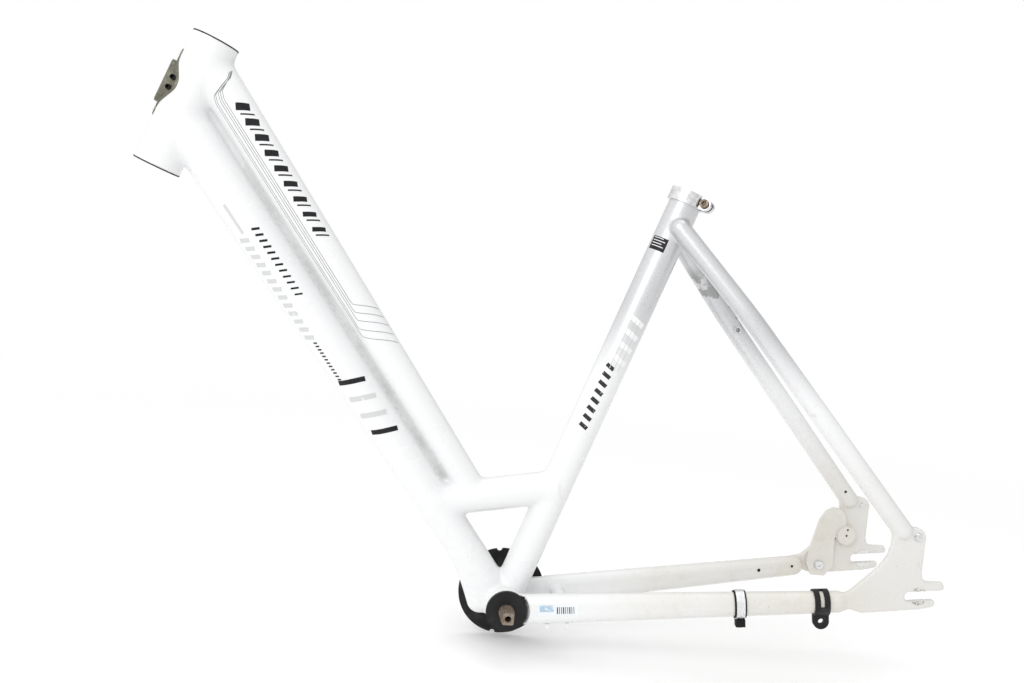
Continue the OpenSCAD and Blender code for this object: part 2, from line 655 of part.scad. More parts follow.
module seal() translate([0, 0, bearing_w / 2 + fixed_gap]) difference() {
    cylinder(h = 1, r = race_out_r);
    translate([0, 0, -overlap]) cylinder(h = 3, r = spindle_d / 2 + free_gap);
}
module at_bearing(side) translate([0, side * bearing_y, 0]) rotate([-90 * side, 0, 0]) children();
module bearing_outer_race_left() color(bright_steel) at_bearing(-1) outer_race();
module bearing_outer_race_right() color(bright_steel) at_bearing(1) outer_race();
module bearing_inner_race_left() color(bright_steel) at_bearing(-1) inner_race();
module bearing_inner_race_right() color(bright_steel) at_bearing(1) inner_race();
module bearing_balls_left() color(bright_steel) at_bearing(-1) at_balls() sphere(r = ball_r);
module bearing_balls_right() color(bright_steel) at_bearing(1) at_balls() sphere(r = ball_r);
module bearing_cage_left() color(dull_steel) at_bearing(-1) cage();
module bearing_cage_right() color(dull_steel) at_bearing(1) cage();
module bearing_seal_left() color(rubber_black) at_bearing(-1) seal();
module bearing_seal_right() color(rubber_black) at_bearing(1) seal();

// Round plate held under the flange of the right cup, with small notches in its rim
notch_angles = [97, 262];
module chain_guard_plate() color(black_plastic) translate([0, shell_width / 2 + fixed_gap, 0]) along_y()
    linear_extrude(guard_plate_t) difference() {
        circle(d = guard_plate_d);
        circle(r = thread_r + fixed_gap);
        for (a = notch_angles) rotate(a) translate([guard_plate_d / 2, 0]) circle(r = 3);
    }

// Point on the left chainstay's axis at a distance x back from the bottom bracket
function on_left_stay(x) =
    let (k = (x - chainstay_front.x) / (chainstay_rear.x - chainstay_front.x),
         p = chainstay_front + k * (chainstay_rear - chainstay_front)) [p.x, -p.y, p.z];
function stay_height(x) = chainstay_front_h
    + (x - chainstay_front.x) / (chainstay_rear.x - chainstay_front.x) * (chainstay_rear_h - chainstay_front_h);
// Its children along the left chainstay: +Z to the rear along the tube, +X down
module on_stay(x) aim(on_left_stay(x), on_left_stay(x + 10)) children();
// Ring of length l round the left chainstay, from inner gap g to outer gap g + t
module stay_ring(x, l, g, t) {
    half_w = chainstay_width / 2;
    rise = stay_height(x) / 2 - half_w;
    on_stay(x) linear_extrude(l) difference() {
        slot_outline([-rise, 0], [rise, 0], 2 * (half_w + g + t));
        slot_outline([-rise, 0], [rise, 0], 2 * (half_w + g));
    }
}

// Torque arm clip: a slotted strap round the rear end of the left chainstay, with a bolt tab below
clip_x = axle_x - 111;
clip_l = 16;
clip_t = 1.8;
clip_gap = 0.4;
clip_tab_t = 5;
clip_tab_r = 8.5;
clip_hole_d = 6;
clip_slot_w = 4.4;
module torque_arm_clip() color(black_plastic) difference() {
    union() {
        stay_ring(clip_x, clip_l, clip_gap, clip_t);
        on_stay(clip_x) clip_tab() circle(r = clip_tab_r);
        on_stay(clip_x) clip_tab() translate([-8, -clip_tab_r]) square([8, 2 * clip_tab_r]);
    }
    on_stay(clip_x) translate([-clip_drop - 4, -chainstay_width, clip_l / 2 - clip_slot_w / 2])
        cube([chainstay_rear_h + 4, chainstay_width, clip_slot_w]);
    on_stay(clip_x) clip_tab() circle(d = clip_hole_d);
    stay_ring(clip_x - 5, clip_l + 10, -chainstay_width / 2 + 0.1, chainstay_width / 2 + clip_gap - 0.1);
}
clip_drop = chainstay_rear_h / 2 + 9;
module clip_tab() translate([clip_drop, 0, clip_l / 2]) rotate([90, 0, 0])
    linear_extrude(clip_tab_t, center = true) children();

// Cable band: a steel strap over a rubber liner, closed under the tube by a block and a screw
band_x = 243;
band_l = 9;
liner_t = 1.2;
liner_edge = 1.8;
strap_t = 1;
block_h = 8;
module cable_band_liner() color(rubber_black) stay_ring(band_x - liner_edge, band_l + 2 * liner_edge, 0.3, liner_t);
module cable_band_strap() color(bright_steel) stay_ring(band_x, band_l, 0.3 + liner_t + fixed_gap, strap_t);
module at_band_block() on_stay(band_x) translate([stay_height(band_x) / 2 + 0.3 + liner_t + strap_t + 0.5, 0, 0])
    children();
module cable_band_block() color(rubber_black) at_band_block() difference() {
    translate([0, -5, 0]) cube([block_h, 10, band_l + 1]);
    translate([-overlap, 0, band_l / 2 + 0.5]) rotate([0, 90, 0]) cylinder(h = block_h + 2 * overlap, d = 3.2);
}
module cable_band_screw() color(bright_steel) at_band_block() translate([0, 0, band_l / 2 + 0.5])
    rotate([0, 90, 0]) {
        cylinder(h = block_h + 0.5, d = 3);
        translate([0, 0, block_h + fixed_gap]) cylinder(h = 1.8, r1 = 2.8, r2 = 2);
    }

// Cable guides: small open clips under the left chainstay
guide_places = [42, 63];
module chainstay_cable_guides() color(paint_white) for (x = guide_places)
    on_stay(x) translate([stay_height(x) / 2 + 0.1, -3, 0]) difference() {
        cube([4.5, 6, 4]);
        translate([2.4, 3, -overlap]) cylinder(h = 4 + 2 * overlap, d = 2.6);
    }

head_tube();
headset_cup_upper();
headset_cup_lower();
cable_guide();
cable_guide_screws();
top_tube();
down_tube();
tube_web();
brace_tube();
seat_tube();
bottom_bracket_shell();
bottom_bracket_gusset();
chainstay_left();
chainstay_right();
chainstay_bridge();
seatstay_left();
seatstay_right();
dropout_left();
dropout_right();
lock_bosses();
chain_case_bracket();
chain_case_bracket_bolts();
eyelet_bolts();
seat_clamp_collar();
seat_clamp_bolt();
seat_clamp_nut();
cup_left();
cup_right();
cartridge_sleeve();
spindle();
bearing_outer_race_left();
bearing_outer_race_right();
bearing_inner_race_left();
bearing_inner_race_right();
bearing_balls_left();
bearing_balls_right();
bearing_cage_left();
bearing_cage_right();
bearing_seal_left();
bearing_seal_right();
chain_guard_plate();
torque_arm_clip();
cable_band_strap();
cable_band_liner();
cable_band_block();
cable_band_screw();
chainstay_cable_guides();
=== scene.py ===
"""Looks for the step-through bicycle frame: a smooth painted skin over the CAD tubes, marks, dirt and small parts."""

import json
import math

import bmesh
import bpy
import numpy as np
from mathutils import Matrix, Vector


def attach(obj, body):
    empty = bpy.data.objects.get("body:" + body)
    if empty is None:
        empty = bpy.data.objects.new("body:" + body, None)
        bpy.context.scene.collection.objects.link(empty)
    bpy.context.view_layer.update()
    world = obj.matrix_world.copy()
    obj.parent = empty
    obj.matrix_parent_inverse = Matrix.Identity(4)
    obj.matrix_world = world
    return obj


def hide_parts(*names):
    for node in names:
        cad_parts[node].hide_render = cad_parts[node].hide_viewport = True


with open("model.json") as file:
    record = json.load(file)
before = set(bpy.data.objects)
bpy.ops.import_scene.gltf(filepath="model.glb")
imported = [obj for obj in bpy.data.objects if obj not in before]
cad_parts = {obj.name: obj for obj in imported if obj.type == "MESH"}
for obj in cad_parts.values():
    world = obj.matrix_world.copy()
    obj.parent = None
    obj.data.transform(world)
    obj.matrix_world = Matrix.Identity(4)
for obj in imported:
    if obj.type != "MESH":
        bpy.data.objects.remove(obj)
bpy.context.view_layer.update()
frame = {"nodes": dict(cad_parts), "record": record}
MM = 0.001

# ---------------------------------------------------------------- layout, in millimetres, as in the CAD part
SEAT_ANGLE, HEAD_ANGLE, BRACE_ANGLE = (math.radians(a) for a in (71.6, 69.7, 11.2))


def xz(x, z, y=0.0):
    return np.array([x, y, z], float)


def toward(angle):
    return xz(math.cos(angle), math.sin(angle))


SEAT_DIR, HEAD_DIR, BRACE_DIR = toward(SEAT_ANGLE), toward(HEAD_ANGLE), toward(BRACE_ANGLE)
HEAD_LOW, HEAD_LENGTH, HEAD_R = xz(-409.7, 433.3), 142.0, 24.5
SEAT_LENGTH, SEAT_R = 490.0, 17.45
CHAINSTAY_LENGTH, AXLE_RISE = 440.0, 63.0
AXLE = xz(math.sqrt(CHAINSTAY_LENGTH**2 - AXLE_RISE**2), AXLE_RISE)
DOWN_JOIN, TOP_JOIN = 57, 119  # along the head tube, from its lower end
DOWN_TOP, DOWN_LOW = HEAD_LOW + DOWN_JOIN * HEAD_DIR, xz(-2.7, -2.2)
TOP_TOP = HEAD_LOW + TOP_JOIN * HEAD_DIR
BRACE_JOIN, STAY_JOIN = 139, 450  # along the seat tube, from the bottom bracket
BRACE_REAR = BRACE_JOIN * SEAT_DIR
TOP_FOOT = 0.655  # how far along the brace, from its rear end, the top tube ends
BRACE_R, BRIDGE_R, GUSSET_R = 18.2, 7, 14
SHELL_HALF, SHELL_R = 34.0, 21.5
HUB_HALF, HUB_SEAT_T, HUB_SEAT_R, DROPOUT_T = 67.5, 0.5, 10.0, 6.5
DROPOUT_Y = HUB_HALF + HUB_SEAT_T + DROPOUT_T / 2


def meet(p, d, q, e):
    """The point where the line from p along d crosses the line from q along e, seen from the side."""
    k = ((q[0] - p[0]) * e[2] - (q[2] - p[2]) * e[0]) / (d[0] * e[2] - d[2] * e[0])
    return p + k * d


BRACE_FRONT = meet(BRACE_REAR, BRACE_DIR, DOWN_LOW, DOWN_TOP - DOWN_LOW)
TOP_LOW = BRACE_REAR - (BRACE_REAR[0] - BRACE_FRONT[0]) * TOP_FOOT * BRACE_DIR / BRACE_DIR[0]
TUBES = {  # the ends of each tube's axis, and its radius at each end
    "top": (TOP_TOP, TOP_LOW, 22.0, 15.1),
    "down": (DOWN_TOP, DOWN_LOW, 24.8, 18.4),
    "seat": (xz(0, 0), SEAT_LENGTH * SEAT_DIR, SEAT_R, SEAT_R),
    "head": (HEAD_LOW, HEAD_LOW + HEAD_LENGTH * HEAD_DIR, HEAD_R, HEAD_R),
}


# ---------------------------------------------------------------- distance functions for the skin
def cone(p, q, r1, r2):
    """Distance to a straight tube from p to q, with flat ends."""
    v = q - p
    length = np.linalg.norm(v)
    u = v / length

    def d(P):
        w = P - p
        s = w @ u
        rad = np.sqrt(np.maximum((w * w).sum(1) - s * s, 0))
        side = rad - (r1 + (r2 - r1) * np.clip(s / length, 0, 1))
        return np.maximum(side, np.maximum(-s, s - length))

    return d


def capsule(p, q, r):
    """Distance to a rod from p to q with round ends."""
    v = q - p
    vv = v @ v

    def d(P):
        w = P - p
        t = np.clip(w @ v / vv, 0, 1)
        return np.linalg.norm(w - t[:, None] * v, axis=1) - r

    return d


SIDE_VIEW = np.array([1, 0, 1])
STAY_TOP = np.array([STAY_JOIN * SEAT_DIR[0] + 3, 19.0, STAY_JOIN * SEAT_DIR[2]])
STAY_LOW = np.array([AXLE[0] - 26, DROPOUT_Y - 0.4, AXLE[2] + 69.5])
STAY_R, STAY_BEND_R = 10.5, 190.0
STAY_RUN = math.hypot(STAY_LOW[0] - STAY_TOP[0], STAY_LOW[2] - STAY_TOP[2])
STAY_BEND = np.array([0.74 * STAY_LOW[1], 0.3 * STAY_RUN])
STAY_DIR = (STAY_LOW - STAY_TOP) * SIDE_VIEW / STAY_RUN


def seat_stay(side):
    """Distance to a seat stay: straight, a bend, straight, in one plane. side is -1 on the left, 1 on the right."""
    p0, p1 = np.array([STAY_TOP[1], 0.0]), np.array([STAY_LOW[1], STAY_RUN])
    d1, d2 = STAY_BEND - p0, p1 - STAY_BEND
    l1, l2 = np.linalg.norm(d1), np.linalg.norm(d2)
    d1, d2 = d1 / l1, d2 / l2
    bend = math.acos(float(d1 @ d2))
    tangent = STAY_BEND_R * math.tan(bend / 2)
    n1 = np.array([-d1[1], d1[0]])
    centre = STAY_BEND - tangent * d1 + STAY_BEND_R * n1
    start2 = STAY_BEND + tangent * d2
    across = np.cross(STAY_DIR, [0, 1, 0])

    def d(P):
        w = P - STAY_TOP * SIDE_VIEW
        c = w @ across
        q = np.stack([P[:, 1] * side, w @ STAY_DIR], 1)
        s1 = (q - p0) @ d1
        s2 = (q - start2) @ d2
        a = q - (p0 + np.clip(s1, 0, l1 - tangent)[:, None] * d1)
        b = q - (start2 + np.clip(s2, 0, l2 - tangent)[:, None] * d2)
        flat = np.where(s2 > 0, np.linalg.norm(b, axis=1), np.linalg.norm(a, axis=1))
        arc = np.abs(np.linalg.norm(q - centre, axis=1) - STAY_BEND_R)
        flat = np.where((s1 > l1 - tangent) & (s2 <= 0), arc, flat)
        return np.sqrt(flat**2 + c * c) - STAY_R

    return d


CS_FRONT = np.array([16.0, 28.0, 1.0])
CS_REAR = np.array([AXLE[0] - 82, DROPOUT_Y - 4.5, AXLE[2] - 14.5])
CS_HALF_W, CS_RISE = 10.5, (6.0, 1.0)
CS_END = 4  # the round end starts this far before the rear point


def chainstay(side):
    """Distance to a chainstay: a tall oval tube that gets lower to the rear."""
    p, q = CS_FRONT * [1, side, 1], CS_REAR * [1, side, 1]
    v = q - p
    length = np.linalg.norm(v)
    u = v / length
    across = np.cross([0, 0, 1], u)
    across = across / np.linalg.norm(across)
    up = np.cross(u, across)

    def d(P):
        w = P - p
        s = w @ u
        k = np.clip(s / length, 0, 1)
        rise = CS_RISE[0] + (CS_RISE[1] - CS_RISE[0]) * k
        e = np.maximum(np.abs(w @ up) - rise, 0)
        over = s - np.clip(s, 0, length - CS_END)
        return np.sqrt(e * e + (w @ across) ** 2 + over**2) - CS_HALF_W

    return d


# The dropout's outline, from the axle
PLATE = [(-88, -23.5), (-74, -20), (-60, -23), (4, -14), (18, -10), (19, -4.5), (10, 1.5), (26, 7), (27, 12.5),
         (25, 16.6), (6, 16.2), (1.5, 20), (0.2, 28), (-0.6, 64), (-9.4, 73), (-18, 74), (-36, 70), (-36, 53),
         (-38.5, 41), (-46, 29), (-59, 15.5), (-76, -1.5), (-88, -5.5)]
SLOT_TILT, SLOT_W, SLOT_RUN = math.radians(7), 10.4, 60
EDGE_ROUND = 0.9
EYELET, EYELET_R = (AXLE[0] - 9.4, AXLE[2] + 64), 9.0


def polygon_distance(q, points):
    """Signed distance in the plane to a closed outline, negative inside."""
    d = np.full(len(q), 1e18)
    inside = np.zeros(len(q), bool)
    for (ax, ay), (bx, by) in zip(points, points[1:] + points[:1]):
        e, w = np.array([bx - ax, by - ay]), q - np.array([ax, ay])
        t = np.clip(w @ e / (e @ e), 0, 1)
        d = np.minimum(d, ((w - t[:, None] * e) ** 2).sum(1))
        cross = (ay > q[:, 1]) != (by > q[:, 1])
        x = ax + (q[:, 1] - ay) * (bx - ax) / (by - ay if by != ay else 1e-9)
        inside ^= cross & (q[:, 0] < x)
    return np.sqrt(d) * np.where(inside, -1, 1)


def dropout(side):
    """Distance to a dropout: a flat plate with soft edges, an axle slot and an eyelet."""
    outline = [(AXLE[0] + x, AXLE[2] + z) for x, z in PLATE]
    a = np.array([AXLE[0] - 10, AXLE[2] - 1.2])
    b = a + SLOT_RUN * np.array([math.cos(SLOT_TILT), math.sin(SLOT_TILT)])

    def d(P):
        q = P[:, [0, 2]]
        flat = polygon_distance(q, outline)
        flat = smin(flat, np.linalg.norm(q - EYELET, axis=1) - EYELET_R, 3)
        w, e = q - a, b - a
        t = np.clip(w @ e / (e @ e), 0, 1)
        slot = np.linalg.norm(w - t[:, None] * e, axis=1) - SLOT_W / 2
        flat = np.maximum(flat, -slot)
        x = flat + EDGE_ROUND
        y = np.abs(P[:, 1] * side - DROPOUT_Y) - DROPOUT_T / 2 + EDGE_ROUND
        return np.minimum(np.maximum(x, y), 0) + np.hypot(np.maximum(x, 0), np.maximum(y, 0)) - EDGE_ROUND

    return d


def smin(a, b, k):
    """Smooth union: a fillet about k wide where a and b meet."""
    h = np.maximum(k - np.abs(a - b), 0) / k
    return np.minimum(a, b) - h * h * h * k / 6


def smax(a, b, k):
    """Smooth cut: a rounded edge about k wide where a and b meet."""
    return -smin(-a, -b, k)


WEB_T = 5.0
WEB_ON_DOWN, WEB_ON_TOP = (14, 492), (34, 512)  # where the strip starts and stops, along each main tube


def web(P):
    """Distance to the strip that closes the groove between the two main tubes."""
    def along(p, q, s):
        return p + s * (q - p) / np.linalg.norm(q - p)

    pts = [along(DOWN_TOP, DOWN_LOW, s) for s in WEB_ON_DOWN] + [along(TOP_TOP, TOP_LOW, s) for s in WEB_ON_TOP[::-1]]
    flat = polygon_distance(P[:, [0, 2]], [(p[0], p[2]) for p in pts])
    return np.maximum(flat, np.abs(P[:, 1]) - WEB_T / 2)


LIFT = 0.12  # the skin stands this far off the CAD tubes that stay in view
GUSSET = (xz(-47, 50), xz(-27, -1))
SPARE = 2  # tubes run on past their ends by this, and are cut off flat later
SEAT_SKIN_END = 480
head_f = cone(HEAD_LOW - SPARE * HEAD_DIR, HEAD_LOW + (HEAD_LENGTH + SPARE) * HEAD_DIR, HEAD_R + LIFT, HEAD_R + LIFT)
seat_f = cone(xz(0, 0), SEAT_SKIN_END * SEAT_DIR, SEAT_R + LIFT, SEAT_R + LIFT)
top_f, down_f = cone(*TUBES["top"]), cone(*TUBES["down"])
brace_f = cone(BRACE_FRONT, BRACE_REAR, BRACE_R, BRACE_R)
shell_f = cone(xz(0, 0, -SHELL_HALF - SPARE), xz(0, 0, SHELL_HALF + SPARE), SHELL_R + LIFT, SHELL_R + LIFT)
gusset_f = capsule(*GUSSET, GUSSET_R)
bridge_f = cone(xz(62, 7.6, -34), xz(62, 7.6, 34), BRIDGE_R, BRIDGE_R)
PLATE_CLEAR = 50.5  # the round plate on the right turns in this radius
FLANGE_CLEAR = 25.0  # the cup's flange sits in this radius


def chainstay_for(P, side):
    """A chainstay; the right one has a notch for the round plate."""
    cs = chainstay(side)(P)
    if side > 0:
        notch = np.maximum(np.hypot(P[:, 0], P[:, 2]) - PLATE_CLEAR, SHELL_HALF - 0.5 - P[:, 1])
        cs = smax(cs, -notch, 3)
    return cs


def skin_distance(P):
    """Distance to the whole painted frame; the last number of each union is the width of its fillet."""
    f = smin(smin(down_f(P), web(P), 1.2), top_f(P), 1.6)
    f = smin(f, brace_f(P), 9)
    f = smin(f, head_f(P), 9)
    body = smin(seat_f(P), shell_f(P), 7)
    body = smin(body, smin(bridge_f(P), np.minimum(chainstay_for(P, -1), chainstay_for(P, 1)), 5), 6)
    body = smin(body, np.minimum(seat_stay(-1)(P), seat_stay(1)(P)), 5)
    f = smin(f, gusset_f(P), 12)
    f = smin(f, body, 8)
    f = smin(f, np.minimum(dropout(-1)(P), dropout(1)(P)), 4)
    flange = np.maximum(np.hypot(P[:, 0], P[:, 2]) - FLANGE_CLEAR, SHELL_HALF - 0.1 - np.abs(P[:, 1]))
    return np.maximum(f, -flange)


# ---------------------------------------------------------------- skin mesh
# Surface nets over a narrow band, then pulled on to the surface
def gradient(f, P, e=0.05):
    g = np.stack([f(P + e * a) - f(P - e * a) for a in np.eye(3)], 1)
    return g / np.maximum(np.linalg.norm(g, axis=1), 1e-9)[:, None]


HALF_DIAGONAL = 0.87  # of a cube with side 1, rounded up


def surface_net(f, lo, hi, step, block=8):
    """Quads of the surface f = 0 on a grid: (points, faces)."""
    n = (np.ceil((hi - lo) / (step * block)).astype(int)) * block
    values = np.full(n + 1, np.nan, np.float32)
    nb = n // block
    reach = step * block * HALF_DIAGONAL + 12
    centres = np.stack(np.meshgrid(*[np.arange(k) for k in nb], indexing="ij"), -1).reshape(-1, 3)
    pts = lo + (centres + 0.5) * block * step
    near = np.concatenate([np.abs(f(c)) < reach for c in np.array_split(pts, max(1, len(pts) // 100000))])
    cells = np.stack(np.meshgrid(*[np.arange(block + 1)] * 3, indexing="ij"), -1).reshape(-1, 3)
    for group in np.array_split(centres[near], max(1, near.sum() // 400)):
        idx = (group[:, None, :] * block + cells[None]).reshape(-1, 3)
        values[idx[:, 0], idx[:, 1], idx[:, 2]] = f(lo + idx * step)
    inside, known = values < 0, ~np.isnan(values)
    number = np.full(n, -1, np.int64)
    quads = []
    for axis in range(3):
        a = tuple(slice(None, -1) if k == axis else slice(1, -1) for k in range(3))
        b = tuple(slice(1, None) if k == axis else slice(1, -1) for k in range(3))
        cross = (inside[a] != inside[b]) & known[a] & known[b]
        i = np.argwhere(cross)
        out = inside[a][cross]
        o = [k for k in range(3) if k != axis]
        base = i.copy()
        base[:, o] += 1
        corner = []
        for du, dv in ((-1, -1), (0, -1), (0, 0), (-1, 0)):
            c = base.copy()
            c[:, o[0]] += du
            c[:, o[1]] += dv
            corner.append(c)
        q = np.stack(corner, 1)
        flip = out if axis != 1 else ~out
        q[~flip] = q[~flip][:, ::-1]
        quads.append(q)
    quads = np.concatenate(quads)
    flat = quads.reshape(-1, 3)
    key = np.ravel_multi_index(flat.T, n)
    uniq, inverse = np.unique(key, return_inverse=True)
    pts = lo + (np.stack(np.unravel_index(uniq, n), 1) + 0.5) * step
    return pts, inverse.reshape(-1, 4)


def pull(f, P, rounds, most):
    """Moves each point on to the surface f = 0, by no more than most in each round."""
    for _ in range(rounds):
        g = gradient(f, P)
        P = P - g * np.clip(f(P), -most, most)[:, None]
    return P


def relax(P, faces, amount):
    """Moves each point towards the middle of its neighbours."""
    total, count = np.zeros_like(P), np.zeros(len(P))
    for k in range(4):
        for j in (1, 3):
            np.add.at(total, faces[:, k], P[faces[:, (k + j) % 4]])
            np.add.at(count, faces[:, k], 1)
    return P + amount * (total / count[:, None] - P)


STEP = 1.7
lo_skin, hi_skin = np.array([-446.0, -84, -48]), np.array([472.0, 84, 580])
points, quads = surface_net(skin_distance, lo_skin, hi_skin, STEP)
points = pull(skin_distance, points, 2, STEP)
for _ in range(2):
    points = pull(skin_distance, relax(points, quads, 0.6), 1, STEP)
points = pull(skin_distance, points, 2, STEP)


def mesh_object(name, verts, faces, smooth=True):
    mesh = bpy.data.meshes.new(name)
    mesh.from_pydata([tuple(v) for v in np.asarray(verts) * MM], [], [tuple(int(i) for i in f) for f in faces])
    mesh.validate()
    if smooth:
        mesh.polygons.foreach_set("use_smooth", [True] * len(mesh.polygons))
    mesh.update()
    obj = bpy.data.objects.new(name, mesh)
    bpy.context.scene.collection.objects.link(obj)
    return obj


CUT_REACH = 12


def cut_end(bm, at, out, radius):
    """Cuts the skin off flat beyond the point at, where its tube ends."""
    at, out = Vector(at * MM), Vector(out)

    def is_near(face):
        w = face.calc_center_median() - at
        return abs(w.dot(out)) < CUT_REACH * MM and (w - out * w.dot(out)).length < radius * MM

    near = [f for f in bm.faces if is_near(f)]
    geom = list({v for f in near for v in f.verts}) + list({e for f in near for e in f.edges}) + near
    bmesh.ops.bisect_plane(bm, geom=geom, plane_co=at, plane_no=out, clear_outer=True)


skin = mesh_object("frame_skin", points, quads)
bm = bmesh.new()
bm.from_mesh(skin.data)
HEAD_INSET, SHELL_INSET, COLLAR_LOW = 0.8, 0.5, 468.8
cut_end(bm, HEAD_LOW + HEAD_INSET * HEAD_DIR, -HEAD_DIR, 30)
cut_end(bm, HEAD_LOW + (HEAD_LENGTH - HEAD_INSET) * HEAD_DIR, HEAD_DIR, 30)
cut_end(bm, COLLAR_LOW * SEAT_DIR, SEAT_DIR, 20)
for side in (-1, 1):
    cut_end(bm, xz(0, 0, side * (SHELL_HALF - SHELL_INSET)), np.array([0, side * 1.0, 0]), 22.2)
bmesh.ops.recalc_face_normals(bm, faces=bm.faces)
bm.to_mesh(skin.data)
bm.free()
skin.data.polygons.foreach_set("use_smooth", [True] * len(skin.data.polygons))
skin.data.update()
skin_points = np.zeros(len(skin.data.vertices) * 3, np.float32)
skin.data.vertices.foreach_get("co", skin_points)
skin_points = skin_points.reshape(-1, 3).astype(float) / MM
CREASE_W, CREASE_FRONT, CREASE_FRONT_SHARE = 0.7, 90, 0.6
# Painted shade in the groove between the two main tubes: darkest on the skin nearest the strip, weaker towards the
# head tube.
crease_shade = np.clip(1 - np.maximum(web(skin_points), 0) / CREASE_W, 0, 1)
crease_shade[skin_points[:, 0] < HEAD_LOW[0] + CREASE_FRONT] *= CREASE_FRONT_SHARE
skin.data.attributes.new("crease_shade", "FLOAT", "POINT").data.foreach_set("value", crease_shade.astype(np.float32))
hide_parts("top_tube", "down_tube", "tube_web", "brace_tube", "bottom_bracket_gusset", "chainstay_left",
            "chainstay_right", "chainstay_bridge", "seatstay_left", "seatstay_right", "dropout_left", "dropout_right")


# ---------------------------------------------------------------- materials
class Nodes:
    """Short way to build a material from nodes."""

    def __init__(self, name):
        self.mat = bpy.data.materials.new(name)
        self.mat.use_nodes = True
        self.tree = self.mat.node_tree
        self.bsdf = self.tree.nodes["Principled BSDF"]
        self.coord = self.new("ShaderNodeTexCoord").outputs["Object"]

    def new(self, kind, **props):
        node = self.tree.nodes.new(kind)
        for k, v in props.items():
            setattr(node, k, v)
        return node

    def link(self, value, socket):
        if isinstance(value, bpy.types.NodeSocket):
            self.tree.links.new(value, socket)
        elif isinstance(value, (tuple, list)) and len(value) == 3 and socket.type == "RGBA":
            socket.default_value = (*value, 1)
        else:
            socket.default_value = value

    def set(self, **inputs):
        for k, v in inputs.items():
            self.link(v, self.bsdf.inputs[k.replace("_", " ")])

    def math(self, op, a, b):
        node = self.new("ShaderNodeMath", operation=op)
        self.link(a, node.inputs[0])
        self.link(b, node.inputs[1])
        return node.outputs[0]

    def times(self, first, *rest):
        for factor in rest:
            first = self.math("MULTIPLY", first, factor)
        return first

    def noise(self, scale, detail=4.0, rough=0.5, stretch=None):
        vec = self.coord
        if stretch:
            m = self.new("ShaderNodeMapping")
            self.link(vec, m.inputs["Vector"])
            m.inputs["Scale"].default_value = stretch
            vec = m.outputs[0]
        node = self.new("ShaderNodeTexNoise")
        self.link(vec, node.inputs["Vector"])
        node.inputs["Scale"].default_value = scale
        node.inputs["Detail"].default_value = detail
        node.inputs["Roughness"].default_value = rough
        return node.outputs["Fac"]

    def ramp(self, value, low, high, to=(0.0, 1.0)):
        node = self.new("ShaderNodeMapRange", interpolation_type="SMOOTHSTEP")
        self.link(value, node.inputs["Value"])
        for k, v in (("From Min", low), ("From Max", high), ("To Min", to[0]), ("To Max", to[1])):
            node.inputs[k].default_value = v
        return node.outputs["Result"]

    def mix(self, fac, a, b):
        node = self.new("ShaderNodeMix", data_type="RGBA")
        self.link(fac, node.inputs[0])
        self.link(a, node.inputs[6])
        self.link(b, node.inputs[7])
        return node.outputs[2]

    def blend(self, fac, a, b):
        node = self.new("ShaderNodeMix", data_type="FLOAT")
        self.link(fac, node.inputs[0])
        self.link(a, node.inputs[2])
        self.link(b, node.inputs[3])
        return node.outputs[0]

    def axis(self, which):
        node = self.new("ShaderNodeSeparateXYZ")
        self.link(self.coord, node.inputs[0])
        return node.outputs[which]

    def bump(self, height, strength, distance=0.001):
        node = self.new("ShaderNodeBump")
        node.inputs["Strength"].default_value = strength
        node.inputs["Distance"].default_value = distance
        self.link(height, node.inputs["Height"])
        self.link(node.outputs[0], self.bsdf.inputs["Normal"])


WHITE, REAR_CREAM_AND_SHADE, OLD_WHITE = (0.80, 0.805, 0.81), (0.69, 0.68, 0.655), (0.62, 0.58, 0.48)
SILVER_DARK, SILVER_LIGHT = (0.50, 0.505, 0.515), (0.74, 0.745, 0.755)
GRIME, SPECK, SCRATCH, GROOVE_SHADE, STAY_SHADOW_COLOUR = ((0.42, 0.36, 0.27), (0.20, 0.17, 0.13), (0.45, 0.45, 0.45),
                                        (0.36, 0.36, 0.35), (0.27, 0.275, 0.27))
SILVER_METAL, SILVER_ROUGH = 0.75, 0.38


def paint_colours(m):
    """White paint, silver up the seat tube and stays, dirty and yellowed to the rear, with painted shade to the rear
    and low down: (colour, silver share).
    """
    x, z = m.axis(0), m.axis(2)
    silver = m.times(m.ramp(z, 0.245, 0.345), m.ramp(x, 0.02, 0.05))
    flake = m.ramp(m.noise(2600, 2, 0.6), 0.35, 0.65)
    silver_colour = m.mix(flake, SILVER_DARK, SILVER_LIGHT)
    rear = m.ramp(x, 0.03, 0.33)
    low = m.ramp(z, 0.27, 0.05)
    dirt = m.times(rear, low, m.ramp(m.noise(9, 5, 0.6), 0.40, 0.70))
    grime = m.times(m.ramp(m.noise(60, 6, 0.65), 0.55, 0.74), m.ramp(m.noise(14, 3), 0.45, 0.62))
    specks = m.ramp(m.noise(420, 2, 0.5), 0.70, 0.76)
    scratch = m.ramp(m.noise(70, 3, 0.5, stretch=(9, 1, 0.6)), 0.705, 0.73)
    # Painted shade: the white turns darker towards the rear and the bottom, where the light falls off; its slight
    # yellow is the paint's own tone.
    base = m.mix(m.times(rear, low), WHITE, REAR_CREAM_AND_SHADE)
    base = m.mix(m.times(dirt, 0.5), base, OLD_WHITE)
    base = m.mix(m.times(grime, rear, 0.40), base, GRIME)
    base = m.mix(m.times(specks, rear, 0.35), base, SPECK)
    base = m.mix(m.times(scratch, 0.18), base, SCRATCH)
    return m.mix(silver, base, silver_colour), silver


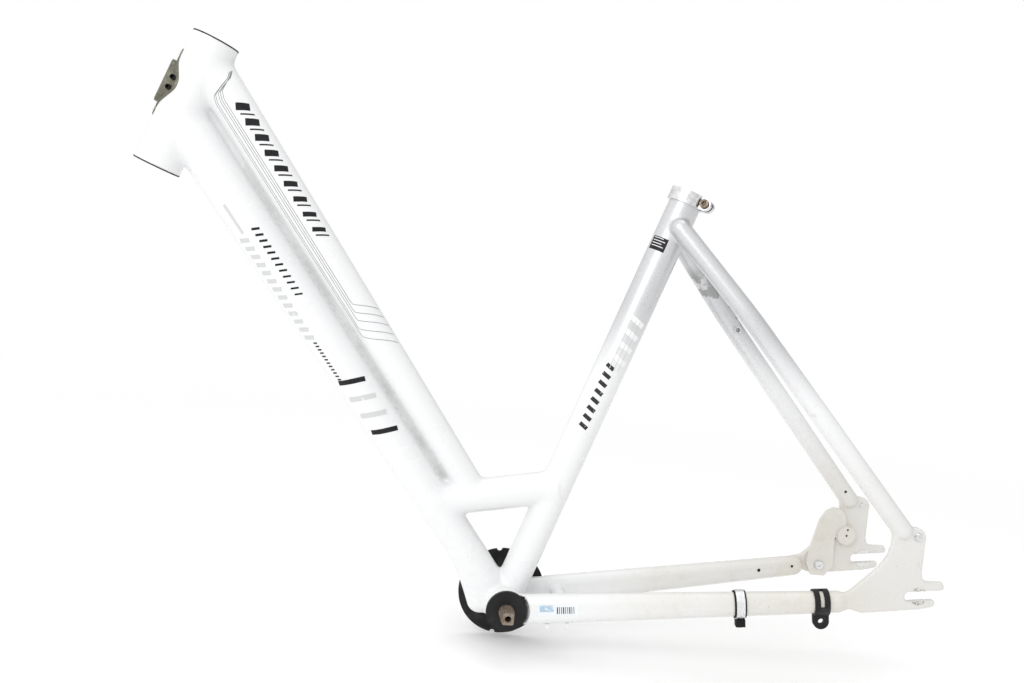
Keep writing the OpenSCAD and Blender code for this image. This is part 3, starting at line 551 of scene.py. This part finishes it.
def paint(name):
    """The frame's paint, with painted shade in the groove and a painted shadow on the upper right stay."""
    m = Nodes(name)
    colour, silver = paint_colours(m)
    groove = m.new("ShaderNodeAttribute", attribute_name="crease_shade").outputs["Fac"]
    # Painted shade: the groove gets a grey colour, broken up by noise.
    colour = m.mix(m.times(groove, m.ramp(m.noise(22, 4), 0.3, 0.7, (0.35, 0.75))), colour, GROOVE_SHADE)
    x, y, z = m.axis(0), m.axis(1), m.axis(2)
    # Painted shadow: a dark grey patch on the upper part of the right seat stay.
    stay_shadow = m.times(m.ramp(y, 0.012, 0.016), m.ramp(x, 0.150, 0.160))
    stay_shadow = m.times(stay_shadow, m.times(m.ramp(z, 0.318, 0.335), m.ramp(z, 0.392, 0.375)))
    stay_shadow = m.times(stay_shadow, m.ramp(m.noise(34, 5, 0.6), 0.43, 0.47), 0.8)
    colour = m.mix(stay_shadow, colour, STAY_SHADOW_COLOUR)
    m.set(Base_Color=colour, Metallic=m.times(silver, SILVER_METAL),
          Roughness=m.blend(silver, m.ramp(m.noise(30, 4), 0.3, 0.7, (0.24, 0.36)), SILVER_ROUGH),
          Coat_Weight=0.6, Coat_Roughness=0.08)
    m.bump(m.noise(260, 2, 0.4), 0.05, 0.0004)
    return m.mat


def metal(name, colour, dark, rough, wear=0.0, rust=None, scale=900):
    """Brushed metal; wear is the share of dull spots, rust their colour."""
    m = Nodes(name)
    streak = m.noise(scale, 4, 0.6, stretch=(1, 0.06, 1))
    spots = m.noise(140, 6, 0.7)
    c = m.mix(m.ramp(streak, 0.3, 0.7), dark, colour)
    if rust:
        c = m.mix(m.ramp(spots, 0.42, 0.62, (0.15, 0.95)), c, rust)
    m.set(Base_Color=c, Metallic=m.ramp(spots, 0.42, 0.66, (1.0, 1.0 - wear)),
          Roughness=m.ramp(spots, 0.35, 0.65, (rough, min(1, rough + 0.18 + wear * 0.3))))
    m.bump(m.math("ADD", streak, m.times(spots, 1.5 * wear)), 0.12 + wear * 0.3, 0.0003)
    return m.mat


def plastic(name, colour, light, rough, dust=0.4):
    """Dark plastic or rubber with lighter, dusty clouds."""
    m = Nodes(name)
    fine, big = m.noise(1500, 2, 0.5), m.noise(45, 5, 0.65)
    c = m.mix(m.ramp(big, 0.50, 0.80, (0.0, dust)), colour, light)
    m.set(Base_Color=c, Roughness=m.ramp(big, 0.35, 0.7, (rough, rough + 0.16)), Specular_IOR_Level=0.22)
    m.bump(fine, 0.22, 0.0002)
    return m.mat


mats = {
    "paint_white": paint("paint_white"),
    "paint_silver": paint("paint_silver"),
    "black_plastic": plastic("black_plastic", (0.012, 0.012, 0.013), (0.10, 0.10, 0.095), 0.42),
    "bright_steel": metal("bright_steel", (0.86, 0.86, 0.865), (0.64, 0.64, 0.65), 0.24, 0.1),
    "chrome_clamp": metal("chrome_clamp", (0.80, 0.80, 0.81), (0.62, 0.62, 0.63), 0.14, 0.05, scale=300),
    "dull_steel": metal("dull_steel", (0.44, 0.39, 0.33), (0.20, 0.17, 0.14), 0.42, 0.6, (0.20, 0.13, 0.085)),
    "olive_metal": metal("olive_metal", (0.235, 0.225, 0.175), (0.15, 0.145, 0.115), 0.42, 0.55),
    "black_rubber": plastic("black_rubber", (0.011, 0.011, 0.011), (0.07, 0.07, 0.065), 0.7),
}


def decal_material(name, colour, worn, scale=120.0, metallic=0.0):
    """A printed mark. worn is the share of it that has flaked off and shows the paint."""
    m = Nodes(name)
    chips = m.noise(scale, 5, 0.7)
    if worn > 0:
        under, _ = paint_colours(m)
        edge = 0.5 + (worn - 0.5) * 0.55
        colour = m.mix(m.ramp(chips, edge - 0.015, edge + 0.015), under, colour)
    else:
        colour = m.mix(m.ramp(chips, 0.35, 0.75), colour, tuple(min(1.0, 1.5 * c + 0.004) for c in colour))
    m.set(Base_Color=colour, Metallic=metallic, Roughness=m.ramp(chips, 0.3, 0.7, (0.28, 0.40)),
          Specular_IOR_Level=0.18)
    return m.mat


marks = {
    "mark_black": decal_material("mark_black", (0.012, 0.012, 0.014), 0.0),
    "mark_worn_black": decal_material("mark_worn_black", (0.03, 0.03, 0.03), 0.22, 260),
    "mark_grey": decal_material("mark_grey", (0.60, 0.61, 0.61), 0.24, 90),
    "mark_line": decal_material("mark_line", (0.20, 0.20, 0.205), 0.0),
    "mark_pale": decal_material("mark_pale", (0.84, 0.845, 0.84), 0.22, 110),
    "mark_label": decal_material("mark_label", (0.80, 0.83, 0.855), 0.30, 200),
    "mark_blue": decal_material("mark_blue", (0.42, 0.56, 0.68), 0.36, 300),
    # Painted shade for holes: near-black discs that stand in for their dark insides.
    "hole_shade": decal_material("hole_shade", (0.004, 0.004, 0.004), 0.0),
    "mark_washer": decal_material("mark_washer", (0.36, 0.33, 0.28), 0.47, 330, 0.5),
}
skin.data.materials.append(mats["paint_white"])
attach(skin, "frame")
slot_of = {s["node"]: s["material_slot"] for s in frame["record"]["subparts"]}
for node_name, obj in frame["nodes"].items():
    obj.data.materials.clear()
    obj.data.materials.append(mats[slot_of[node_name]])


# ---------------------------------------------------------------- printed marks: ribbons wrapped on a tube
def wrap(tube, lift):
    """Maps (distance along the tube, distance round it from its left-hand middle line) to a point just off it."""
    p, q, r1, r2 = TUBES[tube]
    length = np.linalg.norm(q - p)
    u = (q - p) / length
    n = np.array([-u[2], 0, u[0]])
    n = n if n[2] > 0 else -n

    def at(s, t):
        r = r1 + (r2 - r1) * s / length
        a = t / r
        return p + s * u + (r + lift) * (math.sin(a) * n - np.array([0, math.cos(a), 0]))

    return at


def ribbon(path, width, cell=1.5):
    """Quads along a path of (s, t) points, as [(s, t)], [faces]."""
    path = [np.array(p, float) for p in path]
    dense = [path[0]]
    for a, b in zip(path, path[1:]):
        k = max(1, int(np.ceil(np.linalg.norm(b - a) / cell)))
        dense += [a + (b - a) * (i + 1) / k for i in range(k)]
    dense = np.array(dense)
    d = np.gradient(dense, axis=0)
    d /= np.maximum(np.linalg.norm(d, axis=1), 1e-9)[:, None]
    side = np.stack([-d[:, 1], d[:, 0]], 1)
    m = max(1, int(np.ceil(width / cell)))
    rows = [dense + side * width * (j / m - 0.5) for j in range(m + 1)]
    pts = np.concatenate(rows)
    n = len(dense)
    faces = [(j * n + i, j * n + i + 1, (j + 1) * n + i + 1, (j + 1) * n + i)
             for j in range(m) for i in range(n - 1)]
    return pts, faces


def decal(name, at, ribbons, material):
    """One piece from several ribbons, laid on the surface that at(s, t) gives."""
    verts, faces = [], []
    for path, width in ribbons:
        pts, fs = ribbon(path, width)
        faces += [tuple(i + len(verts) for i in f) for f in fs]
        verts += [at(s, t) for s, t in pts]
    obj = mesh_object(name, verts, faces)
    obj.data.materials.append(marks[material])
    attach(obj, "frame")


PRINT, OVERPRINT = 0.16, 0.12  # a mark stands this far off the paint, and a mark on a mark this much farther
top_at, down_at, seat_at = wrap("top", PRINT), wrap("down", PRINT), wrap("seat", PRINT + LIFT)
TURN_ANGLE = math.radians(52.9)


def pinstripe(t_start, t_run, s_turn, t_end):
    """A thin line that starts near the head tube, runs down the tube and turns level across it."""
    start = [(24, t_start + 9), (30, t_start + 2), (38, t_run + 3), (46, t_run)]
    across = t_end - t_run
    rise = [(s_turn + k * across / math.tan(TURN_ANGLE), t_run + k * across) for k in (0.18, 1.0)]
    return [*start, (s_turn - 4, t_run), (s_turn, t_run + 0.6), *rise]


LINE_W, LINE_PITCH, TURN_PITCH = 0.55, 2.4, 8.5
lines_high = [(pinstripe(11 + i, -3.0 - LINE_PITCH * i, 292 + TURN_PITCH * i, 22.0), LINE_W) for i in range(3)]
lines_low = [(pinstripe(9, -11.5 - LINE_PITCH * i, 318 + TURN_PITCH * i, 20.0), LINE_W) for i in range(2)]
decal("pinstripes", top_at, lines_high, "mark_line")
decal("pinstripes_low", top_at, lines_low, "mark_line")


def slashes(start, stop, count, low, high, lean, width, shrink=0.0):
    """Parallel slanted bars from s = start to stop, from t = low to high; each a little thinner than the last."""
    return [([(s, low), (s + lean, high)], width * (1 - shrink * k / count))
            for k, s in enumerate(np.linspace(start, stop, count))]


decal("top_tube_bars", top_at, slashes(58, 204, 9, 3.0, 16.0, 7.0, 8.0, 0.45), "mark_black")
decal("top_tube_thin_bars", top_at, slashes(67, 211, 9, 3.0, 16.0, 7.0, 1.6), "mark_black")
decal("down_tube_bars", down_at, slashes(139, 219, 12, -0.5, 7.0, 3.4, 2.6, 0.3), "mark_black")
decal("down_tube_worn_line", down_at, [([(103, -11), (138, -11)], 3.4)], "mark_grey")
decal("down_tube_worn_band", down_at, slashes(142, 262, 13, -20.0, -9.0, 5.0, 4.6), "mark_grey")
decal("down_tube_worn_dashes", down_at, slashes(272, 318, 12, -13.5, -9.5, 1.8, 1.7), "mark_worn_black")
STRIPE_W = 5.4
STRIPES = [(322, "mark_black"), (343, "mark_grey"), (364, "mark_grey"), (385, "mark_black")]
for k, (s, material) in enumerate(STRIPES):
    decal(f"down_tube_stripe_{k + 1}", down_at, [([(s, -15.0), (s + 10.5, 13.0)], STRIPE_W)], material)
decal("seat_tube_label", seat_at, [([(419.5, 13), (434.5, 13)], 20.0)], "mark_black")
label_lines = [([(424 + 3.0 * i, 5.5 + 3 * (i % 2)), (424 + 3.0 * i, 20.5)], 0.8) for i in range(4)]
decal("seat_tube_label_lines", wrap("seat", PRINT + LIFT + OVERPRINT), label_lines, "mark_pale")
decal("seat_tube_worn_bars", seat_at, slashes(213, 283, 8, -1.0, 8.5, 3.0, 4.4), "mark_worn_black")
decal("seat_tube_pale_bars", seat_at, slashes(292, 338, 4, -12.0, 8.0, 6.0, 6.0), "mark_pale")
decal("seat_tube_pale_lines", seat_at, [([(283, -6 + 5 * i), (342, -6 + 5 * i)], 0.7) for i in range(3)], "mark_grey")


# ---------------------------------------------------------------- flat marks and pads on the rear end
def flat_piece(name, outline, y, thick, material):
    """A plate with an outline of (x, z) points, from y towards the outside of its side by thick."""
    n = len(outline)
    side = 1 if y > 0 else -1
    verts = [(x, y + side * h, z) for h in (0, thick) for x, z in outline]
    faces = [tuple(range(n))[::-1], tuple(range(n, 2 * n))]
    faces += [(i, (i + 1) % n, n + (i + 1) % n, n + i) for i in range(n)]
    obj = mesh_object(name, verts, faces, smooth=False)
    bm = bmesh.new()
    bm.from_mesh(obj.data)
    bmesh.ops.recalc_face_normals(bm, faces=bm.faces)
    bm.to_mesh(obj.data)
    bm.free()
    obj.data.materials.append(material)
    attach(obj, "frame")


SLOT_GAP, SUNK, MARK_T, WASHER_R = 0.3, 0.1, 0.16, 9.6


def slot_segment(r, upper, n=20):
    """The part of a disc round the axle that lies above or below the axle slot."""
    a = math.asin((SLOT_W / 2 + SLOT_GAP) / r)
    start, stop = (a, math.pi - a) if upper else (math.pi + a, 2 * math.pi - a)
    return [(AXLE[0] + r * math.cos(t + SLOT_TILT), AXLE[2] + r * math.sin(t + SLOT_TILT))
            for t in np.linspace(start, stop, n)]


for side, word in ((-1, "left"), (1, "right")):
    for upper, which in ((True, "upper"), (False, "lower")):
        flat_piece(f"hub_seat_{which}_{word}", slot_segment(HUB_SEAT_R, upper), side * HUB_HALF,
                   HUB_SEAT_T + 0.3, mats["bright_steel"])
        outer_face = side * (DROPOUT_Y + DROPOUT_T / 2 - SUNK)
        flat_piece(f"washer_mark_{which}_{word}", slot_segment(WASHER_R, upper), outer_face,
                   MARK_T, marks["mark_washer"])


def on_left_chainstay(lift):
    """Maps (distance from the chainstay's front end, distance up round its outer side) to a point just off it."""
    p, q = CS_FRONT * [1, -1, 1], CS_REAR * [1, -1, 1]
    length = np.linalg.norm(q - p)
    u = (q - p) / length
    out = np.cross(u, [0, 0, 1])
    out *= -np.sign(out[1]) / np.linalg.norm(out)
    up = np.cross(out, u)
    up *= np.sign(up[2])

    def at(s, t):
        rise = CS_RISE[0] + (CS_RISE[1] - CS_RISE[0]) * s / length
        a = max(abs(t) - rise, 0) / CS_HALF_W
        flat = math.copysign(min(abs(t), rise), t)
        r = CS_HALF_W + lift
        return p + s * u + (flat + math.copysign(r * math.sin(a), t)) * up + r * math.cos(a) * out

    return at


decal("chainstay_label", on_left_chainstay(PRINT), [([(19, 1.5), (62, 1.5)], 12.0)], "mark_label")
decal("chainstay_label_block", on_left_chainstay(PRINT + OVERPRINT), [([(21, 3.0), (36, 3.0)], 7.0)], "mark_blue")
label_bars = [([(40 + 2.2 * i, -3.0), (40 + 2.2 * i, 4.5)], 0.7 + 0.5 * (i % 3 == 0)) for i in range(9)]
decal("chainstay_label_bars", on_left_chainstay(PRINT + OVERPRINT), label_bars, "mark_worn_black")


def disc(x, z, r, n=24):
    """The outline of a disc, seen from the side."""
    return [(x + r * math.cos(t), z + r * math.sin(t)) for t in np.linspace(0, 2 * math.pi, n, endpoint=False)]


VENT_SEARCH, VENT_ROUNDS = (30.0, 70.0), 22  # the inner face is found by halving this span of y


def vent(name, x, z, side, r=1.6):
    """A vent hole on the inner side of a stay: a disc of painted shade laid on the skin."""
    ring = disc(x, z, r)
    low, high = (np.full(len(ring) + 1, y) for y in VENT_SEARCH)
    flat = np.array([(x, z), *ring])
    for _ in range(VENT_ROUNDS):
        mid = (low + high) / 2
        outside = skin_distance(np.stack([flat[:, 0], side * mid, flat[:, 1]], 1)) > PRINT
        low, high = np.where(outside, mid, low), np.where(outside, high, mid)
    verts = np.stack([flat[:, 0], side * low, flat[:, 1]], 1)
    n = len(ring)
    obj = mesh_object(name, verts, [(0, 1 + i, 1 + (i + 1) % n) for i in range(n)])
    obj.data.materials.append(marks["hole_shade"])
    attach(obj, "frame")


for side, word in ((-1, "left"), (1, "right")):
    vent(f"vent_stay_{word}", AXLE[0] - 35.8, AXLE[2] + 80.4, side)
    vent(f"vent_chainstay_rear_{word}", AXLE[0] - 91.4, AXLE[2] - 13.5, side)
    vent(f"vent_chainstay_front_{word}", AXLE[0] - 132.7, AXLE[2] - 20.1, side, 2.0)


# ---------------------------------------------------------------- a lathe for round trim
def lathe(name, at, axis, profile, material, n):
    """Turns a profile of (radius, height) points, in millimetres, about an axis."""
    axis = np.asarray(axis, float) / np.linalg.norm(axis)
    a = np.cross(axis, [0, 1, 0] if abs(axis[1]) < 0.9 else [1, 0, 0])
    a /= np.linalg.norm(a)
    b = np.cross(axis, a)
    angles = np.linspace(0, 2 * math.pi, n, endpoint=False)
    verts = [at + h * axis + r * (math.cos(t) * a + math.sin(t) * b) for r, h in profile for t in angles]
    faces = [(j * n + i, j * n + (i + 1) % n, (j + 1) * n + (i + 1) % n, (j + 1) * n + i)
             for j in range(len(profile) - 1) for i in range(n)]
    obj = mesh_object(name, verts, faces)
    bevel = obj.modifiers.new("edges", "BEVEL")
    bevel.width, bevel.segments, bevel.limit_method = 0.0002, 2, "ANGLE"
    obj.data.materials.append(material)
    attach(obj, "frame")


# Guide ports: a rubber sleeve at each of the two ports, on both sides, with a disc of painted shade inside it for its
# dark bore
GUIDE_DROP = 59
GUIDE_MID, PORT_FRONT, PORT_PITCH, PORT_Y = HEAD_LENGTH - GUIDE_DROP, 17.6, 11.0, 18.0
SLEEVE = [(1.9, -1), (1.9, 6.2), (2.1, 6.8), (2.6, 6.8), (2.75, 6.2), (2.75, -1)]
MOUTH_SHADE = [(0.05, 2.0), (1.95, 2.0)]
head_x = np.array([math.sin(HEAD_ANGLE), 0, -math.cos(HEAD_ANGLE)])
for side, word in ((-1, "left"), (1, "right")):
    out = np.array([0, side * 1.0, 0])
    for k, which in ((-0.5, "lower"), (0.5, "upper")):
        centre = HEAD_LOW - PORT_FRONT * head_x + (GUIDE_MID + k * PORT_PITCH) * HEAD_DIR + PORT_Y * out
        lathe(f"port_sleeve_{which}_{word}", centre, out, SLEEVE, mats["black_rubber"], 40)
        lathe(f"port_shade_{which}_{word}", centre, out, MOUTH_SHADE, marks["hole_shade"], 24)

# ---------------------------------------------------------------- stage, light and camera
FLOOR_Z, FLOOR_SIZE = -0.0508, 14
FADE_FROM, FADE_TO = 0.7, 2.4  # the floor turns into plain white between these distances from the middle
SKY, SKY_DIM, SKY_BRIGHT = 1.0, 0.52, 1.16  # as seen, and its light away from and from the bright side
bpy.ops.mesh.primitive_plane_add(size=FLOOR_SIZE, location=(0, 0, FLOOR_Z))
floor = bpy.context.object
floor.name = "floor"
fm = Nodes("floor_white")
fm.set(Base_Color=(0.96, 0.96, 0.96), Roughness=0.7, Specular_IOR_Level=0.15)
floor.data.materials.append(fm.mat)
far_white = fm.new("ShaderNodeEmission")
far_white.inputs["Strength"].default_value = SKY
distance = fm.new("ShaderNodeVectorMath", operation="LENGTH")
fm.link(fm.coord, distance.inputs[0])
fade = fm.new("ShaderNodeMixShader")
fm.link(fm.ramp(distance.outputs["Value"], FADE_FROM, FADE_TO), fade.inputs[0])
fm.link(fm.bsdf.outputs[0], fade.inputs[1])
fm.link(far_white.outputs[0], fade.inputs[2])
fm.link(fade.outputs[0], fm.tree.nodes["Material Output"].inputs["Surface"])

bpy.context.scene.view_settings.view_transform = "Standard"
world = bpy.data.worlds.new("studio")
bpy.context.scene.world = world
world.use_nodes = True
wt = world.node_tree
background = wt.nodes["Background"]
background.inputs["Color"].default_value = (1.0, 1.0, 1.0, 1)
direction = wt.nodes.new("ShaderNodeTexCoord")
toward_light = wt.nodes.new("ShaderNodeVectorMath")
toward_light.operation = "DOT_PRODUCT"
toward_light.inputs[1].default_value = (-0.72, -0.48, 0.50)
wt.links.new(direction.outputs["Generated"], toward_light.inputs[0])
falloff = wt.nodes.new("ShaderNodeMapRange")
SKY_RANGE = (("From Min", -0.75), ("From Max", 0.75), ("To Min", SKY_DIM), ("To Max", SKY_BRIGHT))
for socket, value in SKY_RANGE:
    falloff.inputs[socket].default_value = value
wt.links.new(toward_light.outputs["Value"], falloff.inputs["Value"])
seen = wt.nodes.new("ShaderNodeLightPath")
strength = wt.nodes.new("ShaderNodeMix")
strength.inputs[3].default_value = SKY
wt.links.new(seen.outputs["Is Camera Ray"], strength.inputs[0])
wt.links.new(falloff.outputs["Result"], strength.inputs[2])
wt.links.new(strength.outputs[0], background.inputs["Strength"])


def area(name, at, target, size, power):
    """A soft lamp at one point that faces another."""
    light = bpy.data.lights.new(name, "AREA")
    light.shape, light.size, light.size_y, light.energy = "RECTANGLE", size[0], size[1], power
    obj = bpy.data.objects.new(name, light)
    obj.location = at
    obj.rotation_euler = (Vector(target) - Vector(at)).to_track_quat("-Z", "Y").to_euler()
    bpy.context.scene.collection.objects.link(obj)


area("key", (-0.9, -1.3, 1.1), (-0.1, 0, 0.25), (1.0, 1.0), 7)
area("top", (0.3, 0.2, 2.2), (0, 0, 0.2), (1.6, 1.0), 5)

SENSOR, LENS = 36.0, 36.493594
YAW, PITCH, ROLL = 0.084, 0.081, math.radians(6.05)
CAMERA_AT = np.array([-84.95, -1119.28, 378.62]) * MM
forward = np.array([math.sin(YAW) * math.cos(PITCH), math.cos(YAW) * math.cos(PITCH), -math.sin(PITCH)])
right = np.array([math.cos(YAW), -math.sin(YAW), 0])
up = np.cross(right, forward)


def tilt(v):
    """Turns a vector about Y, since the photographed frame stands tipped up and this one stands level."""
    cos, sin = math.cos(ROLL), math.sin(ROLL)
    return Vector((v[0] * cos - v[2] * sin, v[1], v[0] * sin + v[2] * cos))


camera_data = bpy.data.cameras.new("camera")
camera_data.sensor_width, camera_data.lens = SENSOR, LENS
camera = bpy.data.objects.new("camera", camera_data)
bpy.context.scene.collection.objects.link(camera)
rotation = Matrix((tilt(right), tilt(up), -tilt(forward))).transposed()
camera.matrix_world = Matrix.Translation(tilt(CAMERA_AT)) @ rotation.to_4x4()
bpy.context.scene.camera = camera
